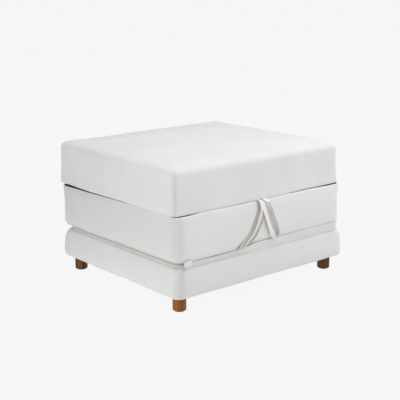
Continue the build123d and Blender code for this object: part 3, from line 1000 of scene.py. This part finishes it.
def strip_hem(lo, face):
    """The rolled hem that closes the front strip's left end."""
    x0 = lo.x - 11 * MM
    middle_y, middle_z = face - 3.6 * MM, lo.z + 11.5 * MM
    stations = [x0 + share * MM for share in (0, 0.7, 2.4, 6, 11, 16, 21, 26, 30)]
    sections = []
    for x in stations:
        sunk = HEM_SINK * smooth((x - x0 - 8 * MM) / (20 * MM))
        section = []
        for i in range(HEM_SIDES):
            a = 2 * math.pi * i / HEM_SIDES
            out, up = (math.copysign(abs(c) ** power, c)
                       for c, power in zip((math.cos(a), math.sin(a)), HEM_POWERS))
            section.append((middle_y + sunk - HEM_DEPTH * out, middle_z + HEM_HEIGHT * up))
        sections.append(section)
    ends = {0: 0.7, 1: 0.88, 2: 0.97, 5: 0.96, 6: 0.9, 7: 0.8, 8: 0.62}
    obj = bar("strip_hem", stations, sections, ends, strip_cloth)
    uneven(obj, 20 * MM, 0.6 * MM, 9)
    return obj


def upper_strip():
    lo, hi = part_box("upper_hinge_strip")
    z0, z1 = lo.z, hi.z
    middle_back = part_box("middle_cover")[1].y
    top_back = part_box("top_cover")[1].y
    out = hi.y
    profile = [
        (middle_back + 0.4 * MM, z0), (middle_back + 2.4 * MM, z0 + 0.6 * MM),
        (middle_back + 5.2 * MM, z0 + 4 * MM), (out - 2.4 * MM, z0 + 8 * MM),
        (out, z0 + 11 * MM), (out, z1 - 5 * MM), (out - 0.4 * MM, z1 - 1 * MM),
        (top_back + 0.6 * MM, z1), (top_back + 0.4 * MM, z1 - 5 * MM),
        (top_back + 0.4 * MM, z0 + 11 * MM), (top_back - 2 * MM, z0 + 8.4 * MM),
        (middle_back + 2.4 * MM, z0 + 4 * MM),
    ]
    stations = strip_stations(lo.x, hi.x, 8 * MM)
    obj = bar("upper_strip_cloth", stations, [profile] * len(stations),
              strip_ends(stations, 0.4, 0.85), strip_cloth)
    uneven(obj, *STRIP_BUMP, 8)
    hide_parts("upper_hinge_strip")
    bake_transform(obj)


STRAP_SHARES = ((0, 0.35), (0.06, 1), (0.3, 1), (0.7, 1), (0.94, 1), (1, 0.35))


def ribbon(name, one, other, thick, material, paint_shade=None):
    """A flat strap between two edge lines; the optional last function paints shade on it by share
    of its width and of its length."""
    verts, painted_shades = [], []
    count = len(one)
    for i, (a, b) in enumerate(zip(one, other)):
        before, after = max(i - 1, 0), min(i + 1, count - 1)
        along = one[after] + other[after] - one[before] - other[before]
        off = (b - a).cross(along).normalized() * (thick / 2)
        rows = [(share, thin) for share, thin in STRAP_SHARES]
        rows += [(share, -thin) for share, thin in reversed(STRAP_SHARES)]
        verts += [a + (b - a) * share + off * thin for share, thin in rows]
        painted_shades += [paint_shade(share, i / (count - 1)) if paint_shade else 0.0 for share, _ in rows]
    obj = new_object(name, verts, closed(count, 2 * len(STRAP_SHARES)), material)
    mark(obj, "seam", painted_shades)
    subdivided(obj)
    return obj


def curve(points, count):
    """A smooth curve through control points (Catmull-Rom), as a list of samples."""
    pts = [Vector(p) for p in points]
    pts = [2 * pts[0] - pts[1]] + pts + [2 * pts[-1] - pts[-2]]
    made = []
    spans = len(pts) - 3
    for i in range(count + 1):
        t = i / count * spans
        k = min(int(t), spans - 1)
        t -= k
        p0, p1, p2, p3 = pts[k: k + 4]
        made.append(0.5 * (2 * p1 + (p2 - p0) * t + (2 * p0 - 5 * p1 + 4 * p2 - p3) * t * t
                           + (3 * p1 - p0 - 3 * p2 + p3) * t ** 3))
    return made


def flattened(obj):
    """Webbing on the middle section: it gets a mesh of its own and moves with the section."""
    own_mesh(obj)
    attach(obj, "middle")


# The tail's left edge, its fold's ridge, its right edge and the sheet beside it that paints its
# shadow, in X, how far off the middle section's face, and Z, in millimetres
TAIL_LEFT = (
    (-46, -8, 305.0), (-46.2, -1, 305.2), (-46.5, 0.3, 302.5), (-46.8, 0.3, 297.9),
    (-48.3, 0.3, 276.7), (-56.5, 0.3, 256.6), (-63.9, 0.3, 243.5), (-71.3, 0.3, 230.5),
    (-78.7, 0.3, 217.5), (-87, 0.3, 204.6), (-97.2, 0.3, 192.2), (-110.2, 0.3, 180.3),
    (-119.1, 0.3, 170.5), (-126, -1, 163),
)
TAIL_RIDGE = (
    (-39, -8, 305.0), (-39.2, -1, 305.2), (-40.5, 3.0, 302.5), (-40.8, 7.0, 297.9),
    (-39.7, 10, 277.2), (-48.9, 10.5, 257.3), (-53.4, 10.5, 243.7), (-58.9, 10.5, 230.4),
    (-65.3, 10.5, 217.2), (-74.5, 9.2, 204.7), (-83.9, 7, 192.4), (-92.8, 4.5, 180.2),
    (-98.5, 2, 170.1), (-104, -1, 162),
)
TAIL_RIGHT = (
    (-37, -8, 305.0), (-37, -1, 305.2), (-38.3, 2.5, 302.5), (-38.0, 6.4, 297.9),
    (-29.8, 9, 275.2), (-33.4, 9.5, 254.4), (-37.9, 9.5, 240.8), (-45.4, 9.5, 227.7),
    (-52.8, 9.5, 214.7), (-62, 8.4, 202.1), (-73.5, 6, 190.2), (-85, 3.8, 178.3),
    (-92, 1.6, 168.0), (-97, -1, 161),
)
TAIL_SHADOW = (
    (-27, 2.8, 268), (-17.8, 2.8, 249.9), (-19.4, 2.8, 235.7), (-27.8, 2.6, 222.7),
    (-34.3, 2.2, 209.4), (-42.8, 1.6, 196.4), (-55.1, 0.8, 184.2), (-69.3, 0.4, 174.4),
)


def rail(points, face):
    return curve([(x * MM, face - out * MM, z * MM) for x, out, z in points], 64)


def tail():
    """A strap folded lengthwise, which comes out of the gap above the middle section and runs
    down and left into the strip: a broad face, a ridge that stands off and a narrow face."""
    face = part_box("middle_cover")[0].y
    left, ridge = rail(TAIL_LEFT, face), rail(TAIL_RIDGE, face)
    right = rail(TAIL_RIGHT, face)
    # The broad face is painted darker towards the ridge and near the top, as painted shade
    broad = ribbon("tail_webbing", left, ridge, 1.4 * MM, tape_webbing,
                   lambda share, t: share * (1.1 - 0.5 * t) + 0.6 * (1 - smooth(t / 0.34)))
    flattened(broad)
    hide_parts("strap_tail")
    narrow = ribbon("tail_fold", ridge, right, 1.4 * MM, cream)
    flattened(narrow)
    # A painted shadow: a sheet on the middle section's face beside the tail, darkest next to it
    outside = rail(TAIL_SHADOW, face)
    inside = [p + Vector((-15 * MM, 0, -5 * MM)) for p in outside]
    shadow_sheet = ribbon("tail_shadow_sheet", inside, outside, 1.0 * MM, tail_shadow_cloth,
                    lambda share, t: (1 - smooth((share - 0.45) / 0.55)) * smooth(t / 0.2))
    flattened(shadow_sheet)


# The pull loop's edge: X, how far off the middle section's face, Z, and how far the webbing
# is turned out from the face there, in millimetres and degrees
LOOP = (
    (-44, 2.5, 301, -2), (-36, 6.2, 292, -6), (-27.6, 7.8, 272.7, -7),
    (-20.8, 8.0, 255.4, -7), (-12.8, 8.0, 237.8, -7), (-6.2, 7.6, 220.4, -6),
    (2, 6.4, 202.8, -2), (8.8, 4.2, 188.6, 14), (18, 2, 177.0, 50), (27, 1.5, 172.5, 76),
    (33.5, 1.5, 177, 90), (36, 1.5, 189, 98), (34, 1.5, 201, 100), (28.5, 1.5, 218, 100),
    (19, 1.5, 236, 100), (9.3, 1.5, 254, 102), (0, 1.5, 272, 112), (-12, 1.5, 291, 135),
    (-16, 1.5, 300, 150),
)
LOOP_WIDTH = 17 * MM

# Where along the loop its painted shade starts and ends, and how dark it is: the shade on the
# right strand's inner face
LOOP_DARKENS = (0.56, 0.08)
LOOP_LIGHTENS = (0.78, 0.12)
LOOP_DARK = 0.56


def loop():
    """The pull loop: webbing that stands on edge, out of the same gap and back."""
    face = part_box("middle_cover")[0].y
    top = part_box("middle_cover")[1].z / MM
    points = [(-45, 10, top + 1.4, 0), (-45, 3.5, top + 1.8, 0)]
    points += [(x, -out, z, turn) for x, out, z, turn in LOOP]
    points += [(-18, 3.5, top + 1.8, 180), (-18, 10, top + 1.4, 180)]
    steps = 120
    samples = curve([(x * MM, face + y * MM, z * MM, turn) for x, y, z, turn in points], steps)
    rim = [p.to_3d() for p in samples]
    outer = []
    for i, p in enumerate(samples):
        t = (rim[min(i + 1, steps)] - rim[max(i - 1, 0)]).normalized()
        flat = Vector((-t.z, 0, t.x))
        turn = math.radians(p[3])
        side = flat * math.cos(turn) + Vector((0, -1, 0)) * math.sin(turn)
        hidden = smooth((p.z - (top - 9) * MM) / (8 * MM))
        side = side.lerp(Vector((1, 0, 0)), hidden)
        outer.append(rim[i] + side.normalized() * LOOP_WIDTH)
    # The right strand is painted darker, as the shade on its inner face
    obj = ribbon("loop_webbing", rim, outer, 1.6 * MM, loop_webbing,
                 lambda share, t: LOOP_DARK * (eased(t, *LOOP_DARKENS) - eased(t, *LOOP_LIGHTENS)))
    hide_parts("pull_loop")
    flattened(obj)


def boxes(name, places, size, material):
    """Many small bevelled blocks in one mesh: places are centres, size is full lengths."""
    sx, sy, sz = (s / 2 for s in size)
    cut = min(sx, sy, sz) * 0.45
    ring = ((-1, -1), (1, -1), (1, 1), (-1, 1))
    verts, faces = [], []
    for x, y, z in places:
        first = len(verts)
        for level, draw in ((-1, cut), (-0.6, 0), (0.6, 0), (1, cut)):
            for a, b in ring:
                verts.append((x + a * (sx - draw), y + b * (sy - draw), z + level * sz))
        faces += joined(4, 4, first)
        faces.append((first + 3, first + 2, first + 1, first))
        faces.append((first + 12, first + 13, first + 14, first + 15))
    return new_object(name, verts, faces, material)


# The zips: how far the tape stands off the CAD one, its length's steps, its own thickness,
# the free end before the first tooth, the teeth, and the runner: its outline in Y and Z,
# and how far out it stands and is drawn in, in millimetres and shares
ZIP_PROUD = 3.2 * MM
ZIP_STEPS = 80
TAPE_DEPTH = 3.0 * MM
ZIP_END = 14 * MM
TOOTH_PITCH = 2.4 * MM
TOOTH_SHIFT = 0.9 * MM
TOOTH_SIZE = (1.6 * MM, 1.5 * MM, 3.4 * MM)
RUNNER = ((-6, -2.6), (-5, -3.8), (3, -4.0), (6, -2.4), (6, 2.4), (3, 4.0), (-5, 3.8), (-6, 2.6))
RUNNER_LEVELS = ((0.4, 1.0), (1.0, 1.0), (2.6, 1.0), (3.2, 0.82))

# The zip's pull: its two faces in millimetres off the tape, its ends above and below the
# chain, its half width, and its hole's radius and height above the lower end
PULL_STEPS = 24
PULL_FACES = (3.3, 4.4)
PULL_ABOVE = 1 * MM
PULL_BELOW = 19 * MM
PULL_R = 3 * MM
PULL_HOLE_R = 1.3 * MM
PULL_HOLE_UP = 4.4 * MM


def zip_set(prefix):
    """A zip's two tapes with a channel between them, its teeth and its slider."""
    lo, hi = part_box(prefix + "_zip")
    face = hi.x + ZIP_PROUD
    y0, y1, z0, z1 = lo.y, hi.y, lo.z, hi.z
    mid = (z0 + z1) / 2
    rows = ((z0, 0.2), (z0 + 3 * MM, 0.9), (mid - 4 * MM, 0.9), (mid - 2.6 * MM, 0.2),
            (mid + 2.6 * MM, 0.2), (mid + 4 * MM, 0.9), (z1 - 3 * MM, 0.9), (z1, 0.2))
    verts = [(face - 1.0 * MM + proud * MM, lerp(y0, y1, i / ZIP_STEPS), z)
             for i in range(ZIP_STEPS + 1) for z, proud in rows]
    n = len(rows)
    faces = [(i * n + k, (i + 1) * n + k, (i + 1) * n + k + 1, i * n + k + 1)
             for i in range(ZIP_STEPS) for k in range(n - 1)]
    tape = new_object(prefix + "_zip_tape", verts, faces, zip_cloth)
    thickened(tape, TAPE_DEPTH)
    subdivided(tape)
    given(tape, prefix, prefix + "_zip")
    count = int((y1 - y0 - 2 * ZIP_END) / TOOTH_PITCH)
    teeth = [(face + 0.1 * MM, y0 + ZIP_END + i * TOOTH_PITCH,
              mid + (TOOTH_SHIFT if i % 2 else -TOOTH_SHIFT)) for i in range(count)]
    coil = boxes(prefix + "_zip_teeth", teeth, TOOTH_SIZE, zip_cloth)
    given(coil, prefix)
    slider(prefix, face, mid)


def slider(prefix, face, mid):
    lo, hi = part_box(prefix + "_zip_slider")
    y = (lo.y + hi.y) / 2
    verts = [(face + x * MM, y + a * draw * MM, mid + b * draw * MM)
             for x, draw in RUNNER_LEVELS for a, b in RUNNER]
    body = new_object(prefix + "_zip_runner", verts, closed(4, len(RUNNER)), zip_metal)
    given(body, prefix + "_slider", prefix + "_zip_slider")
    pull_tab(prefix, face, mid, y)


def pull_tab(prefix, face, mid, y):
    """The zip's pull: a flat tab with a round hole, hanging from the runner."""
    outer, inner = [], []
    n = PULL_STEPS
    low, high = mid - PULL_BELOW, mid + PULL_ABOVE
    for i in range(n):
        a = 2 * math.pi * i / n
        c, s = math.cos(a), math.sin(a)
        z = high - PULL_R if s > 0 else low + PULL_R
        outer.append((y + PULL_R * c, z + PULL_R * s))
        inner.append((y + PULL_HOLE_R * c, low + PULL_HOLE_UP + PULL_HOLE_R * s))
    verts, faces = [], []
    for x in PULL_FACES:
        verts += [(face + x * MM, a, b) for a, b in outer + inner]
    for i in range(n):
        j = (i + 1) % n
        faces.append((i, n + i, n + j, j))
        faces.append((2 * n + i, 2 * n + j, 3 * n + j, 3 * n + i))
        faces.append((i, j, 2 * n + j, 2 * n + i))
        faces.append((n + i, 3 * n + i, 3 * n + j, n + j))
    tab = new_object(prefix + "_zip_pull", verts, faces, zip_metal)
    for polygon in tab.data.polygons:
        polygon.use_smooth = False
    given(tab, prefix + "_slider")


lower_strip()
upper_strip()
tail()
loop()
zip_set("middle")
zip_set("top")


FINISHES = (
    (leg_wood, "leg_front_left"),
    (shaded_leg_wood, "leg_front_right leg_back_left leg_back_right"),
    (pine, "base_rail_front base_rail_back base_rail_left base_rail_right base_cross_rail"),
    (pine, "corner_blocks"),
    (plywood, "base_deck"),
    (steel, "frame_screws leg_nuts leg_bolts"),
    (felt, "leg_glides"),
)
for finish, nodes in FINISHES:
    for node in nodes.split():
        data = frame["nodes"][node].data
        data.materials.clear()
        data.materials.append(finish)


FLOOR_GLOW = 0.932
FLOOR_GLOW_SHARE = 0.985
FLOOR_HALF = 90.0
FLOOR_GRID = 12
WORLD_STRENGTH = 0.2

# Each light's place, what it points at, its size, power and spread in degrees
LIGHTS = {
    "left": ((-9.42, 2.31, 3.0), (-0.496, -1.246, 0.25), (3.0, 3.0), 12, 10),
    "right": ((6.9, -6.7, 3.0), (0, 0, 0.25), (4.5, 4.5), 176, 180),
    "front": ((-2.3, -2.5, 0.2), (0, 0, 0.1), (1.2, 0.4), 3, 180),
    "above": ((0.8, -0.8, 3.2), (0, 0, 0.4), (3.0, 3.0), 94, 180),
}


def floor():
    """A wide pale floor that glows almost evenly and takes a faint shadow."""
    made = Shading("floor", 0.9)
    made.set("Base Color", (0.9, 0.9, 0.9, 1))
    glow = made.add("Emission", Color=(1, 1, 1, 1), Strength=FLOOR_GLOW)
    mix = made.add("MixShader", Fac=FLOOR_GLOW_SHARE)
    made.feed(mix.inputs[1], made.bsdf.outputs[0])
    made.feed(mix.inputs[2], glow.outputs[0])
    made.feed(made.nodes["Material Output"].inputs["Surface"], mix.outputs[0])
    size, grid = FLOOR_HALF, FLOOR_GRID
    row = grid + 1
    verts = [(lerp(-size, size, i / grid), lerp(-size, size, j / grid), 0)
             for i in range(row) for j in range(row)]
    faces = [(i * row + j, (i + 1) * row + j, (i + 1) * row + j + 1, i * row + j + 1)
             for i in range(grid) for j in range(grid)]
    new_object("floor", verts, faces, made.material)


def area_light(name, at, target, size, power, spread):
    data = bpy.data.lights.new(name, "AREA")
    data.shape = "RECTANGLE"
    data.size, data.size_y = size
    data.energy = power
    data.spread = math.radians(spread)
    aimed(linked(name, data), at, Vector(target) - Vector(at))


def world(strength):
    made = bpy.data.worlds.new("studio")
    made.use_nodes = True
    back = made.node_tree.nodes["Background"]
    back.inputs["Color"].default_value = (0.985, 0.99, 1.0, 1)
    back.inputs["Strength"].default_value = strength
    bpy.context.scene.world = made


def camera():
    data = bpy.data.cameras.new("camera")
    data.lens = CAMERA_LENS
    data.sensor_width = CAMERA_SENSOR
    data.clip_end = 400.0
    a, e = math.radians(CAMERA_AZIMUTH), math.radians(CAMERA_ELEVATION)
    back = Vector((math.sin(a) * math.cos(e), -math.cos(a) * math.cos(e), math.sin(e)))
    obj = linked("camera", data)
    aimed(obj, CAMERA_AT, -back)
    bpy.context.scene.camera = obj


floor()
world(WORLD_STRENGTH)
for name, values in LIGHTS.items():
    area_light(name, *values)
bpy.context.scene.view_settings.view_transform = "Standard"
camera()
